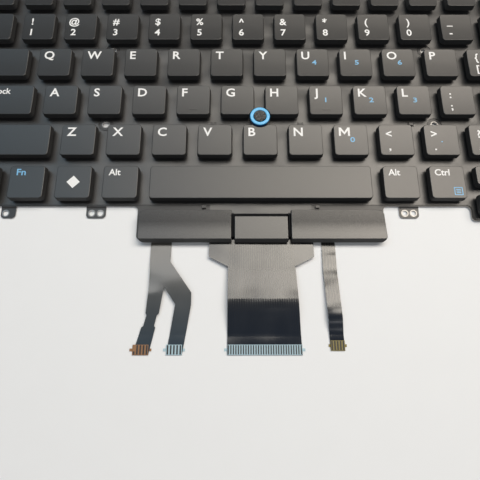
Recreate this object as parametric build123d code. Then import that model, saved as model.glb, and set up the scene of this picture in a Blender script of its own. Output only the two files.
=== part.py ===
from build123d import *
from dataclasses import dataclass
from math import asin, atan, degrees
import os

# Laptop keyboard without a bezel. A stamped steel plate carries the membrane, six rows of keys on
# rubber domes and scissors, a pointing stick, and three mouse buttons in front of the space bar.
# Three ribbons leave under the buttons: the membrane's wide tail, a forked one and a narrow one.
# Frame: +X to the typist's right, +Y away from the typist, +Z up out of the keys.
# The origin is on the underside, in the middle of the key field.

# Driving dimensions, in millimetres

# Key grid
KEY_PITCH = 19.05
CAP_GAP = 5.0
ROW_UNITS = 15.0
FULL_ROWS = 5
STICK_UNITS = 6.75
STICK_ROW = 1.5
FUNCTION_KEYS = 16
SHORT_CAP_DEPTH = 8.2
SHORT_CAP_GAP = 4.0
ARROW_UNITS = 1.25

# Keycaps
CAP_HEIGHT = 2.5
CAP_TOP_WALL = 0.7
CAP_WALL = 0.8
CAP_DRAFT = 0.35
CAP_CORNER = 1.3
CAP_INNER_CORNER = 0.5
CAP_EDGE = 0.25
CAP_DISH = 0.2
HOMING_LENGTH = 3.2
HOMING_WIDTH = 0.45
HOMING_SETBACK = 2.4
HOMING_RISE = 0.05
KEY_TRAVEL = 1.6
PRESS_CLEARANCE = 0.15
BOSS_RADIUS = 1.2

# Sheets and plate, from the underside up
FILM_THICKNESS = 0.1
GUIDE_THICKNESS = 0.35
PLATE_THICKNESS = 0.4
MEMBRANE_THICKNESS = 0.25
PLATE_MARGIN = 1.95
PLATE_CORNER = 1.8
SHEET_INSET = 0.6
FILM_INSET = 0.9

# Screw tabs on the plate's front edge, and screw holes between the rows
TAB_WIDTH = 8.0
TAB_LENGTH = 5.0
TAB_DROP = 0.3
TAB_SLOPE = 0.8
TAB_CORNER = 1.5
TAB_HOLE_RADIUS = 1.1
TAB_HOLE_SPACING = 3.5
TAB_HOLE_SETBACK = 2.9
END_TAB_WIDTH = 6.0
END_TAB_HOLE_SHIFT = 1.1
END_TAB_REACH = 103.2
LEFT_TAB_REACH = 67.4
RIGHT_TAB_REACH = 60.9
SCREW_HOLE_RADIUS = 1.3
SCREW_LEFT_UNITS = 3.5
SCREW_RIGHT_UNITS = 4.0
SCREW_ROWS = (1.5, 3.5)
SCREW_RIM_RADIUS = 2.9
SCREW_RIM_HEIGHT = 0.2
RIM_CLEARANCE = 0.3

# Stamped hooks that stand up through the membrane
HOOK_WIDTH = 1.6
HOOK_DEPTH = 1.1
HOOK_HEIGHT = 1.0
HOOK_SHEET = 0.35
HOOK_CLEARANCE = 0.5

# Scissors and domes
SCISSOR_BAR = 0.6
SCISSOR_THICKNESS = 0.6
SCISSOR_CLEARANCE = 0.2
SCISSOR_SEAT = 0.08
SCISSOR_SIDE_ROOM = 0.45
WIDE_KEY_UNITS = 2.0
WIDE_SCISSOR_INSET = 8.0
RIB_THICKNESS = 0.6
RIB_LENGTH = 3.0
RIB_END_ROOM = 1.1
DOME_CLEARANCE = 0.4
DOME_FLANGE = 0.3
DOME_WALL = 0.35
DOME_COLLAPSED = 0.65
DOME_TOP_SHARE = 0.6
DOME_GAP = 0.05

# Space bar stabiliser
WIRE_RADIUS = 0.35
WIRE_ARM_REACH = 27.0
WIRE_ARM_LENGTH = 8.0
WIRE_TIP = 2.4
WIRE_SEAT = 0.1
WIRE_SIDE_ROOM = 0.2
WIRE_END_DROP = 0.4
LUG_WIDTH = 1.2
LUG_LENGTH = 2.8
LUG_JAW = 0.3
LUG_PLAY = 0.05

# Pointing stick
STICK_OFFSET = 1.15
STICK_RING_RADIUS = 4.25
STICK_RING_WIDTH = 1.55
STICK_RING_HEIGHT = 1.5
STICK_RING_EDGE = 0.5
STICK_FLANGE = 0.6
STICK_RISE = 0.9
STICK_PAD_RISE = 0.35
STICK_PAD_EDGE = 0.5
STICK_SKIRT = 1.6
STICK_NOTCH_ROOM = 0.45
NOTCH_WALL = 0.6
STICK_BASE_ROOM = 0.25
STICK_BASE_THICKNESS = 0.6
POST_WIDTH = 2.4
POST_CLEARANCE = 0.05
POST_CAP_DEPTH = 1.2

# Mouse buttons and their bracket
BUTTON_WIDTH = 37.2
MIDDLE_BUTTON_WIDTH = 21.4
BUTTON_GAP = 1.2
BUTTON_DEPTH = 11.9
MIDDLE_BUTTON_STEP = 2.4
BUTTON_SETBACK = 4.7
BUTTON_HEIGHT = 2.3
BUTTON_DROP = 0.7
BUTTON_SLOPE_SHARE = 0.6
BUTTON_BLEND = 40.0
BUTTON_FLARE = 1.1
BUTTON_SPLAY = 1.0
BUTTON_WALL = 0.8
BUTTON_OUTER_CORNER = 2.4
BUTTON_INNER_CORNER = 0.4
BUTTON_EDGE = 0.3
TOP_NORMAL = 0.9
BUTTON_TRAVEL = 0.7
BUTTON_DOME_RADIUS = 2.4
BRACKET_THICKNESS = 0.7
BRACKET_INSET = 0.6
CHANNEL_ROOM = 0.15
CHANNEL_SIDE_ROOM = 0.4
DIVIDER_WIDTH = 0.5
DIVIDER_INSET = 1.0
DIVIDER_DROP = 1.0
APRON_SIDE = 1.2
APRON_INSET = 0.4

# Ribbons, in front of the plate's apron and measured from the stick's axis
RIBBON_ROOT = 1.0
TAIL_LENGTH = 44.5
TAIL_CREST = 25.5
TAIL_CREST_HEIGHT = 2.8
TAIL_CREST_BEND = 12.0
TAIL_LANDING = 37.0
TAIL_BEND_RADIUS = 8.0
TAIL_FLOOR = 0.05
TAIL_ROOT_WIDTH = 41.6
TAIL_SHOULDER = 7.2
TAIL_SHOULDER_SLOPE = 3.8
TAIL_WIDTH = 26.4
TAIL_END_WIDTH = 28.3
TAIL_END_SHIFT = 0.8
STIFFENER_THICKNESS = 0.2
STIFFENER_LENGTH = 3.8
STIFFENER_EAR = 1.1
STIFFENER_EAR_LENGTH = 1.0
FLEX_THICKNESS = 0.15
FLEX_SLOT_ROOM = 0.4
POINTER_ROOT = -40.3
POINTER_ROOT_WIDTH = 8.8
POINTER_CREST = 16.5
POINTER_CREST_HEIGHT = 2.0
POINTER_CREST_BEND = 90.0
POINTER_LANDING = 37.0
POINTER_SHOULDER = 9.0
POINTER_END_WIDTH = 6.0
POINTER_LEFT_END = -45.9
POINTER_RIGHT_END = -33.3
BACKLIGHT_ROOT = 26.9
BACKLIGHT_CREST = 31.0
BACKLIGHT_CREST_HEIGHT = 2.0
BACKLIGHT_CREST_BEND = 8.0
BACKLIGHT_LANDING = 36.7
BACKLIGHT_BEND = 12.8
BACKLIGHT_END = 28.3
BACKLIGHT_WIDTH = 5.4
BACKLIGHT_LENGTH = 43.0
BACKLIGHT_PAD_WIDTH = 6.8
LED_STRIP_LENGTH = 40.0
LED_STRIP_DEPTH = 5.0

# Rows of keys from left to right, as name and width in grid units
FUNCTION_ROW = [(f"function_{n}", ROW_UNITS / FUNCTION_KEYS) for n in range(FUNCTION_KEYS)]
NUMBER_ROW = [(f"number_{n}", 1.0) for n in range(13)] + [("backspace", 2.0)]
UPPER_ROW = [("tab", 1.5)] + [(f"upper_{n}", 1.0) for n in range(12)] + [("backslash", 1.5)]
HOME_ROW = [("caps_lock", 1.75)] + [(letter, 1.0) for letter in "asdfghjkl"]
HOME_ROW += [("semicolon", 1.0), ("quote", 1.0), ("enter", 2.25)]
LOWER_ROW = [("shift_left", 2.25)] + [(letter, 1.0) for letter in "zxcvbnm"]
LOWER_ROW += [("comma", 1.0), ("period", 1.0), ("slash", 1.0), ("shift_right", 2.75)]
BOTTOM_ROW = [("ctrl_left", 1.25), ("fn", 1.0), ("system", 1.0), ("alt_left", 1.0)]
BOTTOM_ROW += [("space", 5.0), ("alt_right", 1.0), ("ctrl_right", 1.0)]
ARROW_UPPER_ROW = [(name, ARROW_UNITS) for name in ("page_up", "arrow_up", "page_down")]
ARROW_LOWER_ROW = [(name, ARROW_UNITS) for name in ("arrow_left", "arrow_down", "arrow_right")]
STICK_NEIGHBOURS = ("g", "h", "b")
HOMING_KEYS = ("f", "j")

# Hooks in the row gap on both sides of the stick, and in front of the space bar, in grid units
HOOK_PLACES = [(-1.05, 1.5), (0.93, 1.5), (3.45, 1.5), (-1.22, -0.49), (1.22, -0.49)]

# Edges of the forked ribbon between its root and its ends, from the stick's axis and the apron's front.
# The left leg has a short neck.
FORK_LEFT_EDGE = [(-43.7, -18.5), (-44.6, -29.1), (-44.2, -29.8), (-45.3, -33.9), (-46.0, -34.3)]
FORK_INNER_EDGE = [(-40.7, -34.3), (-41.2, -33.9), (-40.3, -29.8), (-39.5, -29.1)]
FORK_INNER_EDGE += [(-37.9, -19.0), (-33.4, -25.7)]
FORK_RIGHT_EDGE = [(-27.3, -26.0), (-27.3, -21.2)]

# Places worked out from the driving dimensions

cap_depth = KEY_PITCH - CAP_GAP
field_left = -ROW_UNITS * KEY_PITCH / 2
stick_x = field_left + STICK_UNITS * KEY_PITCH
full_rows_span = (FULL_ROWS - 1) * KEY_PITCH
bottom_row_y = -(full_rows_span + CAP_GAP + SHORT_CAP_DEPTH) / 2
function_row_y = bottom_row_y + full_rows_span + cap_depth / 2 + CAP_GAP + SHORT_CAP_DEPTH / 2
arrow_upper_y = bottom_row_y + (cap_depth - SHORT_CAP_DEPTH) / 2
arrow_lower_y = arrow_upper_y - SHORT_CAP_DEPTH - SHORT_CAP_GAP
stick_y = bottom_row_y + STICK_ROW * KEY_PITCH + STICK_OFFSET

plate_bottom = FILM_THICKNESS + GUIDE_THICKNESS
plate_top = plate_bottom + PLATE_THICKNESS
sheet_top = plate_top + MEMBRANE_THICKNESS
skirt_bottom = sheet_top + KEY_TRAVEL + PRESS_CLEARANCE
cap_top = skirt_bottom + CAP_HEIGHT
cap_underside = cap_top - CAP_TOP_WALL
dish_radius = (cap_depth**2 / 4 + CAP_DISH**2) / (2 * CAP_DISH)
dome_top = sheet_top + KEY_TRAVEL + DOME_COLLAPSED

plate_left = field_left + CAP_GAP / 2 - PLATE_MARGIN
plate_right = -plate_left
plate_front = bottom_row_y - cap_depth / 2 - PLATE_MARGIN
plate_rear = function_row_y + SHORT_CAP_DEPTH / 2 + PLATE_MARGIN
arrow_left_x = field_left + (ROW_UNITS - 3 * ARROW_UNITS) * KEY_PITCH + CAP_GAP / 2 - PLATE_MARGIN
arrow_front = arrow_lower_y - SHORT_CAP_DEPTH / 2 - PLATE_MARGIN

buttons_rear = bottom_row_y - cap_depth / 2 - BUTTON_SETBACK
buttons_front = buttons_rear - BUTTON_DEPTH
buttons_width = 2 * BUTTON_WIDTH + MIDDLE_BUTTON_WIDTH + 2 * BUTTON_GAP
apron_front = buttons_front + APRON_INSET
bracket_top = plate_top + BRACKET_THICKNESS
button_skirt = bracket_top + BUTTON_TRAVEL + PRESS_CLEARANCE
button_top = button_skirt + BUTTON_HEIGHT
button_low = button_top - BUTTON_DROP
button_dome_top = bracket_top + BUTTON_TRAVEL + DOME_COLLAPSED
side_button_x = (MIDDLE_BUTTON_WIDTH + BUTTON_WIDTH) / 2 + BUTTON_GAP

ring_bottom = cap_top + STICK_RISE - STICK_RING_HEIGHT
ring_inner_radius = STICK_RING_RADIUS - STICK_RING_WIDTH
pad_top = cap_top + STICK_RISE + STICK_PAD_RISE
post_top = pad_top - POST_CAP_DEPTH
notch_radius = STICK_RING_RADIUS + STICK_NOTCH_ROOM

wire_z = sheet_top + WIRE_SEAT + WIRE_RADIUS
tip_z = wire_z + WIRE_END_DROP + KEY_TRAVEL
flex_bottom = FILM_THICKNESS + TAIL_FLOOR
tail_end_z = TAIL_FLOOR + STIFFENER_THICKNESS


# The key grid


@dataclass
class Key:
    """One key: its place in the grid and its width in grid units."""

    name: str
    x: float
    y: float
    units: float
    short: bool = False

    @property
    def width(self):
        return self.units * KEY_PITCH - CAP_GAP

    @property
    def depth(self):
        return SHORT_CAP_DEPTH if self.short else cap_depth


def lay_row(row, y, left_units=0.0, short=False):
    """Keys of one row, laid side by side from the given grid unit."""
    keys = []
    for name, units in row:
        x = field_left + (left_units + units / 2) * KEY_PITCH
        keys.append(Key(name, x, y, units, short))
        left_units += units
    return keys


def row_y(row):
    return bottom_row_y + row * KEY_PITCH


arrow_start = ROW_UNITS - 3 * ARROW_UNITS
moving_keys = lay_row(HOME_ROW, row_y(2))
moving_keys += lay_row(LOWER_ROW, row_y(1))
moving_keys += lay_row(BOTTOM_ROW, row_y(0))
moving_keys += lay_row(ARROW_UPPER_ROW, arrow_upper_y, arrow_start, short=True)
moving_keys += lay_row(ARROW_LOWER_ROW, arrow_lower_y, arrow_start, short=True)
fixed_rows = {
    "upper_letter_keycaps": lay_row(UPPER_ROW, row_y(3)),
    "number_keycaps": lay_row(NUMBER_ROW, row_y(4)),
    "function_keycaps": lay_row(FUNCTION_ROW, function_row_y, short=True),
}
all_keys = moving_keys + [key for row in fixed_rows.values() for key in row]
space_key = next(key for key in moving_keys if key.name == "space")


# Scissors and domes


def inside(size):
    """Clear size inside a cap at its skirt, for a cap of the given top size."""
    return size + 2 * CAP_DRAFT - 2 * CAP_WALL


rib_room = RIB_THICKNESS + SCISSOR_CLEARANCE + RIB_END_ROOM
full_span = inside(cap_depth) - 2 * rib_room
short_span = inside(ROW_UNITS / FUNCTION_KEYS * KEY_PITCH - CAP_GAP) - 2 * rib_room
short_scissor_width = inside(SHORT_CAP_DEPTH) - 2 * SCISSOR_SIDE_ROOM
scissor_bottom = sheet_top + SCISSOR_SEAT
scissor_top = cap_underside - KEY_TRAVEL - PRESS_CLEARANCE


def scissor_size(key):
    """Span and width of a key's scissor: across the row on short keys, along the row's depth on others."""
    return (short_span, short_scissor_width) if key.short else (full_span, full_span)


def scissor_places(key):
    """Places of a key's scissors: one in the middle, or one near each end of a wide cap."""
    turn = Rot(Z=90 if key.short else 0)
    if key.units < WIDE_KEY_UNITS:
        return [Pos(key.x, key.y) * turn]
    reach = key.width / 2 - WIDE_SCISSOR_INSET
    return [Pos(key.x + side * reach, key.y) * turn for side in (-1, 1)]


def scissor_frames(span, width):
    """Outer and inner frame of a scissor at the origin. They cross at mid height and span along Y."""
    middle = Pos(0, 0, (scissor_bottom + scissor_top) / 2)
    tilt = degrees(asin((scissor_top - scissor_bottom - SCISSOR_THICKNESS) / span))
    outer = Pos(0, (span - SCISSOR_BAR) / 2) * Box(width, SCISSOR_BAR, SCISSOR_THICKNESS)
    for side in (-1, 1):
        arm_x = side * (width - SCISSOR_BAR) / 2
        outer += Pos(arm_x, 0) * Box(SCISSOR_BAR, span, SCISSOR_THICKNESS)
    inner_width = width - 2 * SCISSOR_BAR - 2 * SCISSOR_CLEARANCE
    inner_span = span - SCISSOR_BAR - SCISSOR_CLEARANCE
    inner = Box(inner_width, inner_span, SCISSOR_THICKNESS)
    inner -= Box(inner_width - 2 * SCISSOR_BAR, inner_span - 2 * SCISSOR_BAR, SCISSOR_THICKNESS)
    inner = Pos(0, (inner_span - span) / 2) * (Rot(X=-tilt) * inner)
    return middle * (Rot(X=tilt) * outer), middle * inner


def dome(base_radius, seat, top):
    """Hollow rubber dome at the origin, standing on the given level."""
    top_radius = base_radius * DOME_TOP_SHARE
    outside = [(0, top), (top_radius, top), (base_radius, seat + DOME_FLANGE), (base_radius, seat)]
    hollow = [(base_radius - DOME_WALL, seat), (top_radius - DOME_WALL, top - DOME_WALL)]
    hollow += [(0, top - DOME_WALL)]
    return revolve(Plane.XZ * make_face(Polyline(*outside, *hollow, close=True)), Axis.Z)


def key_dome_radius(key):
    width = scissor_size(key)[1]
    return width / 2 - 2 * SCISSOR_BAR - SCISSOR_CLEARANCE - DOME_CLEARANCE


def rubber_domes():
    kinds = {short: None for short in (False, True)}
    domes = []
    for key in all_keys:
        if kinds[key.short] is None:
            kinds[key.short] = dome(key_dome_radius(key), sheet_top, dome_top)
        domes.append(Pos(key.x, key.y) * kinds[key.short])
    for x, y in button_dome_places():
        domes.append(Pos(x, y) * dome(BUTTON_DOME_RADIUS, bracket_top, button_dome_top))
    return domes


def scissor_links():
    """All outer frames and all inner frames, as two lists."""
    kinds = {short: None for short in (False, True)}
    outers = []
    inners = []
    for key in all_keys:
        if kinds[key.short] is None:
            kinds[key.short] = scissor_frames(*scissor_size(key))
        for place in scissor_places(key):
            outers.append(place * kinds[key.short][0])
            inners.append(place * kinds[key.short][1])
    return outers, inners


# Keycaps


def drafted_block(width, depth, corner, bottom, top):
    """Rounded block that narrows by the draft from its bottom to the given size at its top."""
    base = RectangleRounded(width + 2 * CAP_DRAFT, depth + 2 * CAP_DRAFT, corner + CAP_DRAFT)
    angle = degrees(atan(CAP_DRAFT / (top - bottom)))
    return extrude(Pos(0, 0, bottom) * base, top - bottom, taper=angle)


def post(x, y, radius, bottom, top):
    """Upright cylinder between two levels."""
    return Pos(x, y, (bottom + top) / 2) * Cylinder(radius, top - bottom)


def block(width, depth, bottom, top):
    """Upright box between two levels."""
    return Pos(0, 0, (bottom + top) / 2) * Box(width, depth, top - bottom)


def cap_ribs(key):
    """Two ribs per scissor under a cap's top, just outside the raised ends of the frames."""
    rib_y = scissor_size(key)[0] / 2 + SCISSOR_CLEARANCE + RIB_THICKNESS / 2
    rib = block(RIB_LENGTH, RIB_THICKNESS, skirt_bottom, cap_top - CAP_TOP_WALL / 2)
    ribs = []
    for place in scissor_places(key):
        ribs += [place * (Pos(0, side * rib_y) * rib) for side in (-1, 1)]
    return ribs


def stick_bore(radius):
    """Upright cylinder around the stick's axis, taller than a cap."""
    return post(stick_x, stick_y, radius, skirt_bottom - CAP_HEIGHT, cap_top + CAP_HEIGHT)


def stabiliser_lugs():
    """Two lugs under the space bar that hold the tips of its stabiliser."""
    lugs = []
    slot_height = 2 * (WIRE_RADIUS + LUG_PLAY)
    lug = block(LUG_WIDTH, LUG_LENGTH, tip_z - slot_height / 2 - LUG_JAW, cap_top - CAP_TOP_WALL / 2)
    lug -= Pos(0, LUG_JAW, tip_z) * Box(LUG_WIDTH, LUG_LENGTH, slot_height)
    for side in (-1, 1):
        lug_x = space_key.x + side * (WIRE_ARM_REACH + WIRE_TIP / 2 + WIRE_RADIUS)
        lugs.append(Pos(lug_x, tip_y()) * lug)
    return lugs


def dish(key):
    """Long cylinder whose underside hollows a cap's top from front to rear."""
    rise = (dish_radius**2 - key.depth**2 / 4) ** 0.5
    return Pos(key.x, key.y, cap_top + rise) * Rot(Y=90) * Cylinder(dish_radius, 2 * key.width)


def homing_bar(key):
    """Small bar near the front of a cap's top, to be felt by the finger."""
    bar = block(HOMING_LENGTH, HOMING_WIDTH, cap_top - CAP_TOP_WALL / 2, cap_top + HOMING_RISE)
    return Pos(key.x, key.y - key.depth / 2 + HOMING_SETBACK) * bar


def keycap(key):
    """Hollow cap with a dished top, a boss for its dome and ribs beside its scissors."""
    place = Pos(key.x, key.y)
    outer = place * drafted_block(key.width, key.depth, CAP_CORNER, skirt_bottom, cap_top) - dish(key)
    width = key.width - 2 * CAP_WALL
    depth = key.depth - 2 * CAP_WALL
    hollow = place * drafted_block(width, depth, CAP_INNER_CORNER, skirt_bottom, cap_underside)
    fittings = cap_ribs(key)
    fittings.append(post(key.x, key.y, BOSS_RADIUS, dome_top + DOME_GAP, cap_top - CAP_TOP_WALL / 2))
    if key.name == "space":
        fittings += stabiliser_lugs()
    if key.name in HOMING_KEYS:
        fittings.append(homing_bar(key))
    beside_stick = key.name in STICK_NEIGHBOURS
    if beside_stick:
        outer -= stick_bore(notch_radius)
        hollow -= stick_bore(notch_radius + NOTCH_WALL)
    outer = fillet(outer.faces().sort_by(Axis.Z)[-1].edges(), CAP_EDGE)
    cap = outer - hollow + fittings
    if beside_stick:
        cap -= stick_bore(notch_radius)
    return cap


# Space bar stabiliser


def arm_run():
    """Distance along Y that the stabiliser's arm covers at rest, where it slopes up to its tip."""
    return (WIRE_ARM_LENGTH**2 - (tip_z - wire_z) ** 2) ** 0.5


def wire_y():
    return space_key.y + inside(cap_depth) / 2 - WIRE_SIDE_ROOM - WIRE_RADIUS


def tip_y():
    return wire_y() - arm_run()


def rod(start, end):
    """Straight stretch of the stabiliser wire with round ends."""
    start = Vector(*start)
    end = Vector(*end)
    stretch = Solid.make_cylinder(WIRE_RADIUS, (end - start).length, Plane(start, z_dir=end - start))
    return Part(stretch.wrapped) + Pos(start) * Sphere(WIRE_RADIUS) + Pos(end) * Sphere(WIRE_RADIUS)


def space_stabiliser():
    """Bent wire: a bar along the space bar's rear, and two arms that rise to tips in the cap's lugs."""
    left = space_key.x - WIRE_ARM_REACH
    right = space_key.x + WIRE_ARM_REACH
    wire = rod((left, wire_y(), wire_z), (right, wire_y(), wire_z))
    for x, side in ((left, -1), (right, 1)):
        wire += rod((x, wire_y(), wire_z), (x, tip_y(), tip_z))
        wire += rod((x, tip_y(), tip_z), (x + side * WIRE_TIP, tip_y(), tip_z))
    return wire


# Plate, membrane and backlight


def rectangle(left, right, front, rear):
    """Flat rectangle between four edges."""
    return Pos((left + right) / 2, (front + rear) / 2) * Rectangle(right - left, rear - front)


def key_field():
    """Outline of the key field: the main rectangle and the drop under the arrow keys."""
    field = rectangle(plate_left, plate_right, plate_front, plate_rear)
    return field + rectangle(arrow_left_x, plate_right, arrow_front, plate_rear)


def apron():
    """Outline of the plate's tongue under the mouse buttons."""
    reach = buttons_width / 2 + APRON_SIDE
    return rectangle(stick_x - reach, stick_x + reach, apron_front, plate_rear - PLATE_MARGIN)


def rounded(outline):
    return fillet(outline.vertices(), PLATE_CORNER)


def slab(outline, bottom, thickness):
    return extrude(Pos(0, 0, bottom) * outline, thickness)


def screw_places():
    """Screw holes in the gaps between rows: below the home row and above the upper letter row."""
    xs = (stick_x - SCREW_LEFT_UNITS * KEY_PITCH, stick_x + SCREW_RIGHT_UNITS * KEY_PITCH)
    return [(x, row_y(row)) for row in SCREW_ROWS for x in xs]


def hook_places():
    return [(stick_x + x * KEY_PITCH, row_y(row)) for x, row in HOOK_PLACES]


def screw_tabs():
    """Tabs at the plate's front edge: one with a single hole near the left end, and two with a pair."""
    pair = (-TAB_HOLE_SPACING / 2, TAB_HOLE_SPACING / 2)
    tabs = [screw_tab(stick_x - END_TAB_REACH, END_TAB_WIDTH, (-END_TAB_HOLE_SHIFT,))]
    tabs += [screw_tab(stick_x - LEFT_TAB_REACH, TAB_WIDTH, pair)]
    tabs += [screw_tab(stick_x + RIGHT_TAB_REACH, TAB_WIDTH, pair)]
    return tabs


def screw_tab(x, width, holes):
    """Tab that steps down from the plate's front edge, with rounded corners and its screw holes."""
    root = plate_front + TAB_SLOPE
    upper = [(root, plate_top), (plate_front, plate_top)]
    upper += [(plate_front - TAB_SLOPE, plate_top - TAB_DROP)]
    upper += [(plate_front - TAB_LENGTH, plate_top - TAB_DROP)]
    lower = [(y, z - PLATE_THICKNESS) for y, z in reversed(upper)]
    profile = Plane.YZ * make_face(Polyline(*upper, *lower, close=True))
    tab = Pos(x) * extrude(profile, width / 2, both=True)
    tab = fillet(tab.edges().filter_by(Axis.Z).group_by(Axis.Y)[0], TAB_CORNER)
    for offset in holes:
        hole_y = plate_front - TAB_HOLE_SETBACK
        tab -= post(x + offset, hole_y, TAB_HOLE_RADIUS, plate_bottom - TAB_DROP, plate_top)
    return tab


def hook():
    """Stamped hook at the origin: an upright with a lip towards the rear."""
    top = plate_top + HOOK_HEIGHT
    upright = Pos(0, (HOOK_SHEET - HOOK_DEPTH) / 2) * block(HOOK_WIDTH, HOOK_SHEET, plate_bottom, top)
    return upright + block(HOOK_WIDTH, HOOK_DEPTH, top - HOOK_SHEET, top)


def base_plate():
    plate = slab(rounded(key_field() + apron()), plate_bottom, PLATE_THICKNESS)
    plate += screw_tabs()
    rim_top = plate_top + SCREW_RIM_HEIGHT
    for x, y in screw_places():
        plate += post(x, y, SCREW_RIM_RADIUS, plate_bottom, rim_top)
        plate -= post(x, y, SCREW_HOLE_RADIUS, plate_bottom, rim_top)
    plate += [Pos(x, y) * hook() for x, y in hook_places()]
    return plate


def ribbon(outline, root, root_z, crest, landing, thickness):
    """Sheet that rises to its crest (distance, height, bend radius) and comes down to its contact end."""
    end = TAIL_LENGTH + STIFFENER_LENGTH
    bends = [(RIBBON_ROOT, root_z), crest[:2], (landing, tail_end_z), (end, tail_end_z)]
    lower = [(root, root_z), *[(apron_front - reach, z) for reach, z in bends]]
    upper = [(y, z + thickness) for y, z in reversed(lower)]
    face = make_face(Polyline(*lower, *upper, close=True))
    corners = face.vertices().sort_by(Axis.X)
    face = fillet(corners[2:4] + corners[6:8], TAIL_BEND_RADIUS)
    peak = (apron_front - crest[0], crest[1], 0)
    face = fillet(face.vertices().sort_by_distance(peak)[:2], crest[2])
    sheet = extrude(Plane.YZ * face, ROW_UNITS * KEY_PITCH, both=True)
    return sheet & slab(outline, 0, cap_top)


def from_stick(points):
    """Flat outline from points that are measured from the stick's axis and the apron's front edge."""
    return make_face(Polyline(*[(stick_x + x, apron_front + y) for x, y in points], close=True))


def tail_outline():
    """Membrane tail: a wide root, sloped shoulders and a narrower run to the contact end."""
    root = plate_front + SHEET_INSET + PLATE_CORNER - apron_front
    waist = TAIL_SHOULDER + TAIL_SHOULDER_SLOPE
    left = [(-TAIL_ROOT_WIDTH / 2, root), (-TAIL_ROOT_WIDTH / 2, -TAIL_SHOULDER)]
    left += [(-TAIL_WIDTH / 2, -waist), (TAIL_END_SHIFT - TAIL_END_WIDTH / 2, -TAIL_LENGTH)]
    right = [(TAIL_END_SHIFT + TAIL_END_WIDTH / 2, -TAIL_LENGTH), (TAIL_WIDTH / 2, -waist)]
    right += [(TAIL_ROOT_WIDTH / 2, -TAIL_SHOULDER), (TAIL_ROOT_WIDTH / 2, root)]
    return from_stick(left + right)


def membrane():
    """Sheet on the plate, open around the stick, the screws and the hooks, with its tail."""
    sheet = slab(offset(rounded(key_field()), -SHEET_INSET), plate_top, MEMBRANE_THICKNESS)
    root = plate_front + SHEET_INSET + PLATE_CORNER
    crest = (TAIL_CREST, TAIL_CREST_HEIGHT, TAIL_CREST_BEND)
    sheet += ribbon(tail_outline(), root, plate_top, crest, TAIL_LANDING, MEMBRANE_THICKNESS)
    sheet -= post(stick_x, stick_y, notch_radius, plate_top, sheet_top)
    for x, y in screw_places():
        sheet -= post(x, y, SCREW_RIM_RADIUS + RIM_CLEARANCE, plate_top, sheet_top)
    opening_width = HOOK_WIDTH + 2 * HOOK_CLEARANCE
    opening_depth = HOOK_DEPTH + 2 * HOOK_CLEARANCE
    opening = block(opening_width, opening_depth, plate_top, sheet_top)
    for x, y in hook_places():
        sheet -= Pos(x, y) * opening
    return sheet


def pointer_run(room):
    """Outline of the forked ribbon under the plate: from the stick forward, then across to its root."""
    half = POINTER_ROOT_WIDTH / 2 + room
    front = plate_front + PLATE_MARGIN
    down = rectangle(stick_x - half, stick_x + half, front, stick_y)
    across = rectangle(stick_x + POINTER_ROOT - half, stick_x + half, front, front + 2 * half)
    return down + across


def pointer_outline():
    """Fork in front of the apron: two legs that part from a wider shoulder."""
    half = POINTER_ROOT_WIDTH / 2
    end_half = POINTER_END_WIDTH / 2
    root = plate_front - apron_front + PLATE_MARGIN + half
    outline = [(POINTER_ROOT - half, root), *FORK_LEFT_EDGE]
    outline += [(POINTER_LEFT_END - end_half, -TAIL_LENGTH), (POINTER_LEFT_END + end_half, -TAIL_LENGTH)]
    outline += FORK_INNER_EDGE
    outline += [(POINTER_RIGHT_END - end_half, -TAIL_LENGTH), (POINTER_RIGHT_END + end_half, -TAIL_LENGTH)]
    outline += [*FORK_RIGHT_EDGE, (POINTER_ROOT + half, -POINTER_SHOULDER), (POINTER_ROOT + half, root)]
    return from_stick(outline)


def pointer_flex():
    """Forked ribbon from under the stick to two contact ends in front of the apron."""
    run = slab(pointer_run(0), flex_bottom, FLEX_THICKNESS)
    root = plate_front + KEY_PITCH
    crest = (POINTER_CREST, POINTER_CREST_HEIGHT, POINTER_CREST_BEND)
    return run + ribbon(pointer_outline(), root, flex_bottom, crest, POINTER_LANDING, FLEX_THICKNESS)


def led_strip(room):
    """Outline of the backlight ribbon's lamp strip, in the light guide's front edge."""
    middle = stick_x + BACKLIGHT_ROOT
    front = plate_front + PLATE_MARGIN
    reach = LED_STRIP_LENGTH / 2 + room
    return rectangle(middle - reach, middle + reach, front - room, front + LED_STRIP_DEPTH + room)


def backlight_outline():
    half = BACKLIGHT_WIDTH / 2
    root = plate_front + PLATE_MARGIN + LED_STRIP_DEPTH / 2 - apron_front
    left = [(BACKLIGHT_ROOT - half, root), (BACKLIGHT_ROOT - half, -BACKLIGHT_BEND)]
    left += [(BACKLIGHT_END - half, -BACKLIGHT_LENGTH)]
    right = [(BACKLIGHT_END + half, -BACKLIGHT_LENGTH), (BACKLIGHT_ROOT + half, -BACKLIGHT_BEND)]
    right += [(BACKLIGHT_ROOT + half, root)]
    return from_stick(left + right)


def backlight_flex():
    """Narrow ribbon with the lamp strip at its root."""
    strip = slab(led_strip(0), flex_bottom, FLEX_THICKNESS)
    root = plate_front + KEY_PITCH
    crest = (BACKLIGHT_CREST, BACKLIGHT_CREST_HEIGHT, BACKLIGHT_CREST_BEND)
    return strip + ribbon(backlight_outline(), root, flex_bottom, crest, BACKLIGHT_LANDING, FLEX_THICKNESS)


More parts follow.
